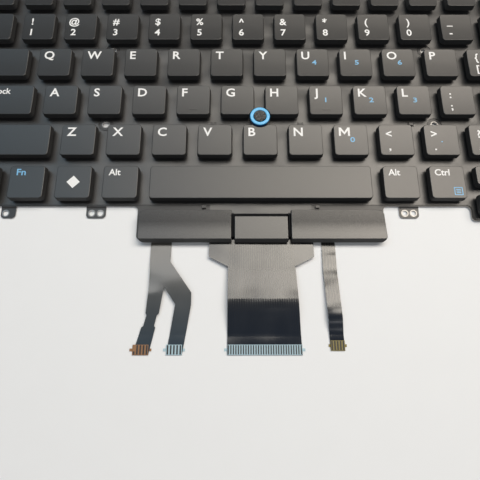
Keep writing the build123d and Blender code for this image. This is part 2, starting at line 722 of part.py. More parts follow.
def backlight_sheet():
    """Light guide under the plate, cut out for the two ribbons that run under it."""
    guide = slab(offset(rounded(key_field()), -FILM_INSET), FILM_THICKNESS, GUIDE_THICKNESS)
    for cut in (pointer_run(FLEX_SLOT_ROOM), led_strip(FLEX_SLOT_ROOM)):
        guide -= slab(cut, FILM_THICKNESS, GUIDE_THICKNESS)
    ways_out = [(POINTER_ROOT, POINTER_ROOT_WIDTH), (BACKLIGHT_ROOT, BACKLIGHT_WIDTH)]
    rear = plate_front + PLATE_MARGIN + LED_STRIP_DEPTH / 2
    for middle, width in ways_out:
        reach = width / 2 + FLEX_SLOT_ROOM
        cut = rectangle(stick_x + middle - reach, stick_x + middle + reach, plate_front, rear)
        guide -= slab(cut, FILM_THICKNESS, GUIDE_THICKNESS)
    for x, y in screw_places():
        guide -= post(x, y, SCREW_RIM_RADIUS, FILM_THICKNESS, plate_bottom)
    return guide


def bottom_film():
    """Dark film that closes the underside, open under the screws."""
    film = slab(offset(rounded(key_field() + apron()), -FILM_INSET), 0, FILM_THICKNESS)
    for x, y in screw_places():
        film -= post(x, y, SCREW_RIM_RADIUS, 0, FILM_THICKNESS)
    return film


def stiffener(middle, width, end, ear):
    """Small plate under a contact end, with an ear on each side."""
    x = stick_x + middle
    y = apron_front - end + STIFFENER_LENGTH / 2
    plate = Pos(x, y) * block(width, STIFFENER_LENGTH, TAIL_FLOOR, tail_end_z)
    return plate + Pos(x, y) * block(width + 2 * ear, STIFFENER_EAR_LENGTH, TAIL_FLOOR, tail_end_z)


def tail_stiffeners():
    backlight_ear = (BACKLIGHT_PAD_WIDTH - BACKLIGHT_WIDTH) / 2
    ends = [(TAIL_END_SHIFT, TAIL_END_WIDTH, TAIL_LENGTH, STIFFENER_EAR)]
    ends += [(POINTER_LEFT_END, POINTER_END_WIDTH, TAIL_LENGTH, STIFFENER_EAR)]
    ends += [(POINTER_RIGHT_END, POINTER_END_WIDTH, TAIL_LENGTH, STIFFENER_EAR)]
    ends += [(BACKLIGHT_END, BACKLIGHT_WIDTH, BACKLIGHT_LENGTH, backlight_ear)]
    return [stiffener(*end) for end in ends]


# Pointing stick


def stick_sensor():
    """Round base on the plate with the square post that the stick's cap sits on."""
    base_radius = notch_radius - STICK_BASE_ROOM
    base_top = plate_top + STICK_BASE_THICKNESS
    base = post(stick_x, stick_y, base_radius, plate_top, base_top)
    return base + Pos(stick_x, stick_y) * block(POST_WIDTH, POST_WIDTH, base_top, post_top)


def stick_cap():
    """Rubber cap on the post: a skirt, a flange under the ring and the pad for the finger."""
    radius = ring_inner_radius - POST_CLEARANCE
    cap = post(stick_x, stick_y, radius, ring_bottom - STICK_FLANGE - STICK_SKIRT, pad_top)
    cap = fillet(cap.edges().group_by(Axis.Z)[-1], STICK_PAD_EDGE)
    cap += post(stick_x, stick_y, STICK_RING_RADIUS, ring_bottom - STICK_FLANGE, ring_bottom)
    socket = POST_WIDTH + 2 * POST_CLEARANCE
    return cap - Pos(stick_x, stick_y) * block(socket, socket, plate_top, post_top + POST_CLEARANCE)


def stick_ring():
    """Coloured ring around the stick's pad, rounded on top."""
    top = ring_bottom + STICK_RING_HEIGHT
    ring = post(stick_x, stick_y, STICK_RING_RADIUS, ring_bottom, top)
    ring -= post(stick_x, stick_y, ring_inner_radius, ring_bottom, top)
    return fillet(ring.edges().group_by(Axis.Z)[-1], STICK_RING_EDGE)


# Mouse buttons


def button_dome_places():
    """Place of each button's dome, from left to right."""
    middle_y = buttons_front + (BUTTON_DEPTH - MIDDLE_BUTTON_STEP) / 2
    return [(stick_x + x, middle_y) for x in (-side_button_x, 0, side_button_x)]


def button_profile(depth, drop):
    """Section of a button: its top falls from the rear, then runs level to a flared front wall."""
    rear = buttons_front + depth
    foot = buttons_front - BUTTON_FLARE
    shoulder = button_low + drop
    top = [(rear, shoulder), (rear - BUTTON_SLOPE_SHARE * depth, button_low), (buttons_front, button_low)]
    face = make_face(Polyline(*top, (foot, button_skirt), (rear, button_skirt), close=True))
    crease = face.vertices().sort_by_distance((*top[1], 0))[0]
    return fillet(crease, BUTTON_BLEND) if drop else face


def rim_of(faces):
    """Edges that only one of the faces has."""
    edges = [edge for face in faces for edge in face.edges()]
    return [edge for edge in edges if sum(edge.is_same(other) for other in edges) == 1]


def mouse_button(x, width, depth, drop, left_corner, right_corner, splay=0.0):
    """Hollow button with a boss for its dome; its right end splays towards the front."""
    middle = buttons_front + depth / 2
    foot = buttons_front - BUTTON_FLARE
    left = [(x - width / 2, buttons_front + depth), (x - width / 2, foot)]
    right = [(x + width / 2 + splay, foot), (x + width / 2, buttons_front + depth)]
    plan = make_face(Polyline(*left, *right, close=True))
    plan = fillet(plan.vertices().sort_by(Axis.X)[:2], left_corner)
    plan = fillet(plan.vertices().sort_by(Axis.X)[-2:], right_corner)
    body = Pos(x) * extrude(Plane.YZ * button_profile(depth, drop), width, both=True)
    body &= slab(plan, button_skirt, BUTTON_HEIGHT)
    body = fillet(rim_of([face for face in body.faces() if face.normal_at().Z > TOP_NORMAL]), BUTTON_EDGE)
    ceiling = button_low - BUTTON_WALL
    body -= Pos(x, middle) * block(width - 2 * BUTTON_WALL, depth - 2 * BUTTON_WALL, button_skirt, ceiling)
    boss_y = button_dome_places()[0][1]
    return body + post(x, boss_y, BOSS_RADIUS, button_dome_top + DOME_GAP, ceiling + BUTTON_WALL / 2)


def mouse_buttons():
    side = (BUTTON_WIDTH, BUTTON_DEPTH, BUTTON_DROP)
    middle = (MIDDLE_BUTTON_WIDTH, BUTTON_DEPTH - MIDDLE_BUTTON_STEP, 0)
    outer = BUTTON_OUTER_CORNER
    inner = BUTTON_INNER_CORNER
    return {
        "left_mouse_button": mouse_button(stick_x - side_button_x, *side, outer, inner),
        "middle_mouse_button": mouse_button(stick_x, *middle, inner, inner),
        "right_mouse_button": mouse_button(stick_x + side_button_x, *side, inner, outer, BUTTON_SPLAY),
    }


def button_bracket():
    """Tray on the plate's apron with a channel for the membrane's tail and a divider in each gap."""
    reach = buttons_width / 2 - BRACKET_INSET
    front = buttons_front + BRACKET_INSET
    rear = buttons_rear - BRACKET_INSET
    bracket = slab(rectangle(stick_x - reach, stick_x + reach, front, rear), plate_top, BRACKET_THICKNESS)
    half = TAIL_ROOT_WIDTH / 2 + CHANNEL_SIDE_ROOM
    channel = rectangle(stick_x - half, stick_x + half, buttons_front, buttons_rear)
    bracket -= slab(channel, plate_top, MEMBRANE_THICKNESS + CHANNEL_ROOM)
    length = BUTTON_DEPTH - 2 * DIVIDER_INSET
    divider = block(DIVIDER_WIDTH, length, bracket_top, button_top - DIVIDER_DROP)
    middle_y = (buttons_front + buttons_rear) / 2
    for side in (-1, 1):
        gap_x = stick_x + side * (MIDDLE_BUTTON_WIDTH + BUTTON_GAP) / 2
        bracket += Pos(gap_x, middle_y) * divider
    return bracket


# The nodes, one file each


def solids_of(shapes):
    """One compound of separate solids."""
    return Compound([solid for shape in shapes for solid in shape.solids()])


def nodes():
    outer_links, inner_links = scissor_links()
    parts = {f"key_{key.name}": keycap(key) for key in moving_keys}
    for name, keys in fixed_rows.items():
        parts[name] = solids_of([keycap(key) for key in keys])
    parts.update(mouse_buttons())
    parts["base_plate"] = base_plate()
    parts["membrane"] = membrane()
    parts["backlight_sheet"] = backlight_sheet()
    parts["bottom_film"] = bottom_film()
    parts["rubber_domes"] = solids_of(rubber_domes())
    parts["outer_scissor_links"] = solids_of(outer_links)
    parts["inner_scissor_links"] = solids_of(inner_links)
    parts["space_stabiliser"] = space_stabiliser()
    parts["stick_sensor"] = stick_sensor()
    parts["stick_cap"] = stick_cap()
    parts["stick_ring"] = stick_ring()
    parts["button_bracket"] = button_bracket()
    parts["pointer_flex"] = pointer_flex()
    parts["backlight_flex"] = backlight_flex()
    parts["tail_stiffeners"] = solids_of(tail_stiffeners())
    return parts


os.makedirs("parts", exist_ok=True)
for node, shape in nodes().items():
    export_step(shape, f"parts/{node}.step")
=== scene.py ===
import math
import random
from dataclasses import dataclass

import bmesh
import bpy
from mathutils import Matrix, Vector
from mathutils.bvhtree import BVHTree


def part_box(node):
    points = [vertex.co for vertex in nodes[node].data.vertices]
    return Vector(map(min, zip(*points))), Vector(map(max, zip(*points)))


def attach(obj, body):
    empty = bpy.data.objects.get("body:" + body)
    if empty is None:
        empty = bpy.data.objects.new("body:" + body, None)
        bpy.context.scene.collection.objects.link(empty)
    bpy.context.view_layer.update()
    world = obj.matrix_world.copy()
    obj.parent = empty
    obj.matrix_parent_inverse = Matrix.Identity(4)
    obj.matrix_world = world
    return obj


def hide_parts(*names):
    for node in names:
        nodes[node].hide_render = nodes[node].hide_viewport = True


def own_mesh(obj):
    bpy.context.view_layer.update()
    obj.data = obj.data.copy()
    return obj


# Looks of the laptop keyboard: a finish for every CAD piece, printed signs on the keys, conductors and
# contacts on the ribbons, the grip of the pointing stick, and a plain studio around it.

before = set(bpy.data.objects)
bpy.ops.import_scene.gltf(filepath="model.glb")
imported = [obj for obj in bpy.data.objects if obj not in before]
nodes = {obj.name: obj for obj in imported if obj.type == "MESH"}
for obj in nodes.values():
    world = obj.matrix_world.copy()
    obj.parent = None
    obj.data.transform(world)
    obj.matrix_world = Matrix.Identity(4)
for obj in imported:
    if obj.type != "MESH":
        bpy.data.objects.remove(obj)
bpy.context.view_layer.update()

# Sizes shared with the part's source, in millimetres

MM = 0.001
KEY_PITCH = 19.05
CAP_GAP = 5.0
ROW_UNITS = 15.0
FULL_ROWS = 5
STICK_UNITS = 6.75
STICK_ROW = 1.5
STICK_OFFSET = 1.15
SHORT_CAP_DEPTH = 8.2
SHORT_CAP_GAP = 4.0
ARROW_UNITS = 1.25
FUNCTION_KEYS = 16
BUTTON_SETBACK = 4.7
BUTTON_DEPTH = 11.9
APRON_INSET = 0.4
TAIL_LENGTH = 44.5
TAIL_SHOULDER = 11.0
TAIL_WIDTH = 26.4
TAIL_END_WIDTH = 28.3
TAIL_END_SHIFT = 0.8
STIFFENER_LENGTH = 3.8
POINTER_END_WIDTH = 6.0
POINTER_LEFT_END = -45.9
POINTER_RIGHT_END = -33.3
BACKLIGHT_ROOT = 26.9
BACKLIGHT_BEND = 12.8
BACKLIGHT_END = 28.3
BACKLIGHT_WIDTH = 5.4
BACKLIGHT_LENGTH = 43.0
PLATE_MARGIN = 1.95
SCREW_UNITS = (-3.5, 4.0)
SCREW_ROWS = (1.5, 3.5)
SCREW_HOLE_RADIUS = 1.3
TAB_HOLES = (-104.3, -69.15, -65.65, 59.15, 62.65)
TAB_HOLE_SETBACK = 2.9
TAB_HOLE_RADIUS = 1.1

cap_depth = KEY_PITCH - CAP_GAP
field_left = -ROW_UNITS * KEY_PITCH / 2
stick_x = field_left + STICK_UNITS * KEY_PITCH
full_rows_span = (FULL_ROWS - 1) * KEY_PITCH
bottom_row_y = -(full_rows_span + CAP_GAP + SHORT_CAP_DEPTH) / 2
function_row_y = bottom_row_y + full_rows_span + cap_depth / 2 + CAP_GAP + SHORT_CAP_DEPTH / 2
arrow_upper_y = bottom_row_y + (cap_depth - SHORT_CAP_DEPTH) / 2
arrow_lower_y = arrow_upper_y - SHORT_CAP_DEPTH - SHORT_CAP_GAP
arrow_start = ROW_UNITS - 3 * ARROW_UNITS
stick_y = bottom_row_y + STICK_ROW * KEY_PITCH + STICK_OFFSET
apron_front = bottom_row_y - cap_depth / 2 - BUTTON_SETBACK - BUTTON_DEPTH + APRON_INSET
tab_hole_y = bottom_row_y - cap_depth / 2 - PLATE_MARGIN - TAB_HOLE_SETBACK


# Meshes

ABOVE = 0.05


class Surface:
    """Top of a CAD node, found by looking straight down on it."""

    def __init__(self, node):
        mesh = nodes[node].data
        corners = [vertex.co for vertex in mesh.vertices]
        self.tree = BVHTree.FromPolygons(corners, [face.vertices for face in mesh.polygons])

    def height(self, x, y):
        hit = self.tree.ray_cast(Vector((x, y, ABOVE)), Vector((0, 0, -1)))[0]
        return hit.z if hit else None


def add_piece(name, shape, finish, body):
    """Turns a bmesh into a piece that rides on a body and takes its finish from a slot."""
    mesh = bpy.data.meshes.new(name)
    bmesh.ops.recalc_face_normals(shape, faces=shape.faces)
    shape.to_mesh(mesh)
    shape.free()
    mesh.materials.append(finish)
    piece = bpy.data.objects.new(name, mesh)
    bpy.context.scene.collection.objects.link(piece)
    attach(piece, body)
    return piece


def add_ring_faces(shape, rings):
    """Joins closed rings of corners into one skin with a lid at both ends."""
    for ring, following in zip(rings, rings[1:]):
        for i in range(len(ring)):
            j = (i + 1) % len(ring)
            shape.faces.new((ring[i], ring[j], following[j], following[i]))
    shape.faces.new(rings[0][::-1])
    shape.faces.new(rings[-1])


def circle(shape, x, y, radius, level, sides):
    """Ring of corners around a plan point in millimetres, at a level in metres."""
    ring = []
    for n in range(sides):
        angle = 2 * math.pi * n / sides
        place = (x + radius * math.cos(angle), y + radius * math.sin(angle))
        ring.append(shape.verts.new((place[0] * MM, place[1] * MM, level)))
    return ring


# Materials

# Colours of plastics and films
CLEAR_FILM = (0.42, 0.58, 0.66)
AMBER_FILM = (0.3, 0.165, 0.085)
OLIVE_FILM = (0.24, 0.2, 0.075)
BLACK = (0.017, 0.0175, 0.0185)
SHEET = (0.026, 0.026, 0.027)
# Painted shade for the slots round the middle button, darker than black plastic
SLOT_PAINTED_SHADE = (0.008, 0.009, 0.011)
# Dark navy at the far end of a ribbon: partly the film's own tint, partly painted reflection of dark blue
# surroundings
FILM_END_PAINTED_REFLECTION = (0.007, 0.012, 0.022)
CONDUCTOR = (0.048, 0.046, 0.042)
# Pointer film: lighter than the other films as a painted reflection of the bright room, with a bluish dark
# end as painted reflection and shade
POINTER_FILM_PAINTED_SHEEN = (0.12, 0.115, 0.105)
POINTER_END_PAINTED_REFLECTION = (0.024, 0.042, 0.062)

# Roughness of the ribbons, of the sheet under the keys and of the painted plate
FILM_GLOSS = (0.16, 0.24)
SHEET_GLOSS = (0.34, 0.44)
STEEL_GLOSS = (0.34, 0.44)
FILM_SPECULAR = 0.8

# Patches and grain of moulded plastic and painted steel: size, depth of the grain, shade of a patch
MOULD_PATCH = 9.0
MOULD_GRAIN = 0.16
MOULD_GRAIN_DEPTH = 0.004
STEEL_PATCH = 14.0
STEEL_GRAIN = 0.3
STEEL_GRAIN_DEPTH = 0.006
PATCH_SHADE = 0.8

# Stretch over which painted reflection and shade darken a ribbon, and its ripples: length, share of that
# length across, depth
FILM_PAINTED_FADE = (0.0, TAIL_LENGTH)
CONDUCTOR_PAINTED_FADE = (21.0, 29.0)
FILM_RIPPLE = (13.0, 0.6, 1.0)
STRIP_RIPPLE = (7.0, 0.2, 1.2)


def new_material(name):
    """A node material, as the material, its tree and its shader."""
    made = bpy.data.materials.new(name)
    made.use_nodes = True
    return made, made.node_tree, made.node_tree.nodes["Principled BSDF"]


def add_node(tree, kind, values=None, **settings):
    made = tree.nodes.new(kind)
    for key, value in settings.items():
        setattr(made, key, value)
    for socket, value in (values or {}).items():
        made.inputs[socket].default_value = value
    return made


def noise(tree, size_mm, detail=2.0, stretch=(1, 1, 1)):
    """Cloudy values with spots of about the given size, in the piece's own coordinates."""
    place = add_node(tree, "ShaderNodeTexCoord")
    mapping = add_node(tree, "ShaderNodeMapping", {"Scale": stretch})
    tree.links.new(place.outputs["Object"], mapping.inputs["Vector"])
    cloud = add_node(tree, "ShaderNodeTexNoise", {"Scale": 1 / (size_mm * MM), "Detail": detail})
    tree.links.new(mapping.outputs["Vector"], cloud.inputs["Vector"])
    return cloud.outputs[0]


def spread(tree, value, low, high, start=0.3, end=0.7):
    """Maps a value onto a range."""
    limits = {"From Min": start, "From Max": end, "To Min": low, "To Max": high}
    mapped = add_node(tree, "ShaderNodeMapRange", limits)
    tree.links.new(value, mapped.inputs["Value"])
    return mapped.outputs[0]


def mix_colours(tree, value, first, second):
    mixed = add_node(tree, "ShaderNodeMix", data_type="RGBA")
    tree.links.new(value, mixed.inputs["Factor"])
    for socket, colour in ((mixed.inputs[6], first), (mixed.inputs[7], second)):
        if isinstance(colour, tuple):
            socket.default_value = (*colour, 1)
        else:
            tree.links.new(colour, socket)
    return mixed.outputs[2]


def mix_values(tree, value, first, second):
    mixed = add_node(tree, "ShaderNodeMix", data_type="FLOAT")
    for socket, source in ((mixed.inputs[0], value), (mixed.inputs[2], first), (mixed.inputs[3], second)):
        if isinstance(source, float):
            socket.default_value = source
        else:
            tree.links.new(source, socket)
    return mixed.outputs[0]


def facing_up(tree, start=0.55, end=0.95):
    """1 on faces that look up, 0 on walls."""
    geometry = add_node(tree, "ShaderNodeNewGeometry")
    parts = add_node(tree, "ShaderNodeSeparateXYZ")
    tree.links.new(geometry.outputs["Normal"], parts.inputs["Vector"])
    return spread(tree, parts.outputs["Z"], 0.0, 1.0, start, end)


def add_bump(tree, shader, value, depth_mm):
    bump = add_node(tree, "ShaderNodeBump", {"Distance": depth_mm * MM})
    tree.links.new(value, bump.inputs["Height"])
    tree.links.new(bump.outputs["Normal"], shader.inputs["Normal"])


def plain_finish(name, colour, roughness, grain_mm, grain_depth, shade=0.85, cloud_mm=12.0, **constants):
    """A surface with a fine grain, and with colour and gloss that vary a little over a larger scale."""
    made, tree, shader = new_material(name)
    cloud = noise(tree, cloud_mm)
    grain = noise(tree, grain_mm, detail=3.0)
    darker = tuple(part * shade for part in colour)
    tree.links.new(mix_colours(tree, cloud, darker, colour), shader.inputs["Base Color"])
    tree.links.new(spread(tree, grain, *roughness), shader.inputs["Roughness"])
    add_bump(tree, shader, grain, grain_depth)
    for socket, value in constants.items():
        shader.inputs[socket.replace("_", " ")].default_value = value
    return made


def moulded_finish(name, colour, top_roughness, wall_roughness, specular):
    """Black moulded plastic: satin and finely grained on top, dull on its walls."""
    made, tree, shader = new_material(name)
    cloud = noise(tree, MOULD_PATCH)
    grain = noise(tree, MOULD_GRAIN, detail=3.0)
    darker = tuple(part * PATCH_SHADE for part in colour)
    tree.links.new(mix_colours(tree, cloud, darker, colour), shader.inputs["Base Color"])
    top = facing_up(tree)
    satin = spread(tree, grain, *top_roughness)
    tree.links.new(mix_values(tree, top, wall_roughness, satin), shader.inputs["Roughness"])
    flat = mix_values(tree, top, 0.5, grain)
    add_bump(tree, shader, flat, MOULD_GRAIN_DEPTH)
    shader.inputs["Specular IOR Level"].default_value = specular
    return made


def steel_finish(name, paint, bare):
    """Painted sheet steel, bare where the punch cut its edges."""
    made, tree, shader = new_material(name)
    cloud = noise(tree, STEEL_PATCH)
    grain = noise(tree, STEEL_GRAIN, detail=3.0)
    top = facing_up(tree, 0.2, 0.7)
    darker = tuple(part * PATCH_SHADE for part in paint)
    painted = mix_colours(tree, cloud, darker, paint)
    tree.links.new(mix_colours(tree, top, bare, painted), shader.inputs["Base Color"])
    tree.links.new(mix_values(tree, top, 1.0, 0.0), shader.inputs["Metallic"])
    tree.links.new(spread(tree, grain, *STEEL_GLOSS), shader.inputs["Roughness"])
    add_bump(tree, shader, grain, STEEL_GRAIN_DEPTH)
    return made


def part_place(tree, axis):
    """Place along an axis of the part's frame, in metres."""
    place = add_node(tree, "ShaderNodeTexCoord")
    parts = add_node(tree, "ShaderNodeSeparateXYZ")
    tree.links.new(place.outputs["Object"], parts.inputs["Vector"])
    return parts.outputs[axis]


def film_finish(name, colour, dark, painted_span=FILM_PAINTED_FADE, ripple=FILM_RIPPLE):
    """Glossy ribbon film, satin under the keys, that ripples, and darkens along its length with painted
    reflection and shade.

    The painted span is the stretch over which that painted darkening runs, in millimetres from the apron's
    front edge.
    """
    made, tree, shader = new_material(name)
    root = apron_front * MM
    y = part_place(tree, "Y")
    # Painted reflection and shade: the colour goes from the film's own to a dark navy end along the ribbon
    painted_darkening = spread(tree, y, 1.0, 0.0, root - painted_span[1] * MM, root - painted_span[0] * MM)
    tree.links.new(mix_colours(tree, painted_darkening, colour, dark), shader.inputs["Base Color"])
    smear = noise(tree, 6.0, detail=4.0, stretch=(1, 0.25, 1))
    grain = noise(tree, 0.25, detail=3.0)
    tail = spread(tree, y, 1.0, 0.0, root, root + MM)
    satin = spread(tree, grain, *SHEET_GLOSS)
    gloss = spread(tree, smear, *FILM_GLOSS)
    tree.links.new(mix_values(tree, tail, satin, gloss), shader.inputs["Roughness"])
    size, across, depth = ripple
    add_bump(tree, shader, noise(tree, size, detail=1.0, stretch=(across, 1, 1)), depth)
    shader.inputs["Specular IOR Level"].default_value = FILM_SPECULAR
    return made


def right_of(tree, x, border):
    """0 to the left of a border and 1 to its right, with the border in millimetres from the stick's axis."""
    middle = (stick_x + border) * MM
    return spread(tree, x, 0.0, 1.0, middle - MM / 2, middle + MM / 2)


def stiffener_finish(name):
    """Amber, clear bluish and olive films, told apart by their place along the row of contact ends."""
    made, tree, shader = new_material(name)
    x = part_place(tree, "X")
    olive_side = right_of(tree, x, (BACKLIGHT_END + TAIL_END_SHIFT + TAIL_END_WIDTH / 2) / 2)
    colour = mix_colours(tree, olive_side, CLEAR_FILM, OLIVE_FILM)
    clear_side = right_of(tree, x, (POINTER_LEFT_END + POINTER_RIGHT_END) / 2)
    colour = mix_colours(tree, clear_side, AMBER_FILM, colour)
    tree.links.new(colour, shader.inputs["Base Color"])
    tree.links.new(spread(tree, noise(tree, 0.8), 0.22, 0.32), shader.inputs["Roughness"])
    return made


def ring_finish(name, top_colour, painted_shade_colour):
    """Dyed plastic, pale on top, with painted shade that darkens its walls."""
    made, tree, shader = new_material(name)
    cloud = noise(tree, 1.5)
    worn = tuple(part * 0.9 for part in top_colour)
    top = mix_colours(tree, cloud, worn, top_colour)
    # Painted shade on the walls
    colour = mix_colours(tree, facing_up(tree, 0.25, 0.7), painted_shade_colour, top)
    tree.links.new(colour, shader.inputs["Base Color"])
    tree.links.new(spread(tree, noise(tree, 0.3), 0.24, 0.32), shader.inputs["Roughness"])
    return made


def grip_finish(name, dark, pale):
    """Dull rubber with pale specks."""
    made, tree, shader = new_material(name)
    specks = noise(tree, 0.55, detail=3.0)
    colour = mix_colours(tree, spread(tree, specks, 0.0, 1.0, 0.42, 0.66), dark, pale)
    tree.links.new(colour, shader.inputs["Base Color"])
    tree.links.new(spread(tree, specks, 0.55, 0.75), shader.inputs["Roughness"])
    add_bump(tree, shader, noise(tree, 0.22, detail=3.0), 0.03)
    return made


finishes = {
    "keycap": moulded_finish("keycap_plastic", BLACK, (0.32, 0.4), 0.8, 0.7),
    "mouse_button": moulded_finish("button_plastic", BLACK, (0.24, 0.3), 0.65, 0.7),
    "plate_steel": steel_finish("plate_paint", (0.03, 0.03, 0.032), (0.42, 0.41, 0.4)),
    # The ribbons' films darken towards their ends with painted reflection and shade
    "membrane_film": film_finish("membrane_film", SHEET, FILM_END_PAINTED_REFLECTION),
    "light_guide": plain_finish("guide_milky", (0.8, 0.81, 0.82), (0.25, 0.35), 0.5, 0.004),
    "bottom_film": plain_finish("underside_film", (0.02, 0.02, 0.021), (0.42, 0.55), 0.35, 0.01),
    "dome_rubber": plain_finish("dome_silicone", (0.62, 0.62, 0.58), (0.5, 0.6), 0.4, 0.01),
    "scissor_plastic": plain_finish("scissor_black", (0.03, 0.03, 0.03), (0.32, 0.42), 0.3, 0.006),
    "spring_wire": plain_finish("drawn_wire", (0.55, 0.55, 0.54), (0.25, 0.35), 0.1, 0.004, Metallic=1.0),
    # Painted shade: very dark metal, so the sensor's base between the caps round the stick shows as dark as
    # the shade there
    "sensor_metal": plain_finish("sensor_painted_shade_metal", (0.09, 0.09, 0.09), (0.45, 0.55), 0.2, 0.005, Metallic=1.0),
    "stick_rubber": grip_finish("grip_rubber", (0.018, 0.018, 0.019), (0.15, 0.155, 0.16)),
    # The ring's walls get painted shade in a dark navy
    "ring_blue": ring_finish("ring_plastic", (0.13, 0.52, 0.92), (0.012, 0.07, 0.22)),
    # Painted shade: the bracket shows only in the slots round the middle button, so it is darker than black
    # plastic and barely reflects, to stand in for the shade in those slots
    "bracket_plastic": plain_finish(
        "bracket_black", SLOT_PAINTED_SHADE, (0.7, 0.8), 0.25, 0.008, Specular_IOR_Level=0.1
    ),
    "flex_film": film_finish("ribbon_film", SHEET, FILM_END_PAINTED_REFLECTION, ripple=STRIP_RIPPLE),
    "stiffener_film": stiffener_finish("stiffener_films"),
}
white_print = plain_finish("white_print", (0.82, 0.83, 0.84), (0.45, 0.55), 0.08, 0.002, shade=0.94)
blue_print = plain_finish("blue_print", (0.18, 0.45, 0.72), (0.45, 0.55), 0.08, 0.002, shade=0.94)
clear_film = plain_finish("contact_clear", CLEAR_FILM, (0.2, 0.3), 0.6, 0.003)
amber_film = plain_finish("contact_amber", AMBER_FILM, (0.25, 0.35), 0.6, 0.003)
olive_film = plain_finish("contact_olive", OLIVE_FILM, (0.25, 0.35), 0.6, 0.003)
# The conductors darken past the ribbon's bend with painted reflection and shade
main_conductor = film_finish("main_conductor", CONDUCTOR, FILM_END_PAINTED_REFLECTION, CONDUCTOR_PAINTED_FADE)
strip_conductor = film_finish("strip_conductor", CONDUCTOR, FILM_END_PAINTED_REFLECTION, CONDUCTOR_PAINTED_FADE, STRIP_RIPPLE)
bare_steel = plain_finish("bare_steel", (0.27, 0.265, 0.26), (0.35, 0.45), 0.15, 0.004, Metallic=1.0)
# Painted reflection: the pointer's ribbon is lighter near the buttons and bluish dark at its ends
pointer_film_painted_sheen = film_finish("pointer_film_painted_sheen", POINTER_FILM_PAINTED_SHEEN, POINTER_END_PAINTED_REFLECTION)
carbon = plain_finish("contact_carbon", (0.03, 0.03, 0.035), (0.3, 0.45), 0.1, 0.004)

NODE_SLOTS = {
    "base_plate": "plate_steel",
    "membrane": "membrane_film",
    "backlight_sheet": "light_guide",
    "bottom_film": "bottom_film",
    "rubber_domes": "dome_rubber",
    "outer_scissor_links": "scissor_plastic",
    "inner_scissor_links": "scissor_plastic",
    "space_stabiliser": "spring_wire",
    "stick_sensor": "sensor_metal",
    "stick_cap": "stick_rubber",
    "stick_ring": "ring_blue",
    "button_bracket": "bracket_plastic",
    "pointer_flex": "flex_film",
    "backlight_flex": "flex_film",
    "tail_stiffeners": "stiffener_film",
}
for name, piece in nodes.items():
    key_like = name.startswith("key_") or name.endswith("_keycaps")
    slot = "keycap" if key_like else NODE_SLOTS.get(name, "mouse_button")
    piece.data.materials.clear()
    piece.data.materials.append(pointer_film_painted_sheen if name == "pointer_flex" else finishes[slot])


# The rows of keys: name, width in grid units and the printed signs


def letters(text):
    return [(letter.lower(), 1.0, (letter,)) for letter in text]


def pairs(text):
    """Single keys with an upper and a lower sign, from words of two characters."""
    return [(f"pair_{n}", 1.0, tuple(word)) for n, word in enumerate(text.split())]


FUNCTION_SIGNS = ["Esc", *[f"F{n}" for n in range(1, 13)], "Home", "End", "Del"]
function_units = ROW_UNITS / FUNCTION_KEYS
function_row = [(f"function_{n}", function_units, (sign,)) for n, sign in enumerate(FUNCTION_SIGNS)]
number_row = [*pairs("~` !1 @2 #3 $4 %5 ^6 &7 *8 (9 )0 _- +="), ("backspace", 2.0, ("Backspace",))]
upper_row = [("tab", 1.5, ("Tab",)), *letters("QWERTYUIOP"), *pairs("{[ }]"), ("backslash", 1.5, ("|", "\\"))]
home_row = [("caps_lock", 1.75, ("Caps Lock",)), *letters("ASDFGHJKL"), ("semicolon", 1.0, (":", ";"))]
home_row += [("quote", 1.0, ('"', "'")), ("enter", 2.25, ("Enter",))]
lower_row = [("shift_left", 2.25, ("Shift",)), *letters("ZXCVBNM"), ("comma", 1.0, ("<", ","))]
lower_row += [("period", 1.0, (">", ".")), ("slash", 1.0, ("?", "/")), ("shift_right", 2.75, ("Shift",))]
bottom_row = [("ctrl_left", 1.25, ("Ctrl",)), ("fn", 1.0, ()), ("system", 1.0, ())]
bottom_row += [("alt_left", 1.0, ("Alt",)), ("space", 5.0, ()), ("alt_right", 1.0, ("Alt",))]
bottom_row += [("ctrl_right", 1.0, ("Ctrl",))]
arrow_upper_row = [("page_up", ARROW_UNITS, ("PgUp",)), ("arrow_up", ARROW_UNITS, ())]
arrow_upper_row += [("page_down", ARROW_UNITS, ("PgDn",))]
arrow_lower_row = [(f"arrow_{way}", ARROW_UNITS, ()) for way in ("left", "down", "right")]

# Second signs in blue: number block on the letters, from key to sign
NUMBER_BLOCK = {"u": "4", "i": "5", "o": "6", "j": "1", "k": "2", "l": "3", "m": "0", "period": "."}
ARROW_TURNS = {"arrow_up": 0, "arrow_left": 90, "arrow_down": 180, "arrow_right": 270}


@dataclass
class Key:
    """One key: its middle and the size of its top in millimetres, and its signs."""

    name: str
    x: float
    y: float
    width: float
    depth: float
    signs: tuple

    @property
    def left(self):
        return self.x - self.width / 2

    @property
    def rear(self):
        return self.y + self.depth / 2


def lay_row(row, y, depth=cap_depth, start=0.0):
    keys = []
    for name, units, signs in row:
        x = field_left + (start + units / 2) * KEY_PITCH
        keys.append(Key(name, x, y, units * KEY_PITCH - CAP_GAP, depth, signs))
        start += units
    return keys


def row_y(row):
    return bottom_row_y + row * KEY_PITCH


moving_keys = lay_row(home_row, row_y(2)) + lay_row(lower_row, row_y(1)) + lay_row(bottom_row, row_y(0))
moving_keys += lay_row(arrow_upper_row, arrow_upper_y, SHORT_CAP_DEPTH, arrow_start)
moving_keys += lay_row(arrow_lower_row, arrow_lower_y, SHORT_CAP_DEPTH, arrow_start)
fixed_rows = {
    "upper_letter_keycaps": lay_row(upper_row, row_y(3)),
    "number_keycaps": lay_row(number_row, row_y(4)),
    "function_keycaps": lay_row(function_row, function_row_y, SHORT_CAP_DEPTH),
}


# Printed signs

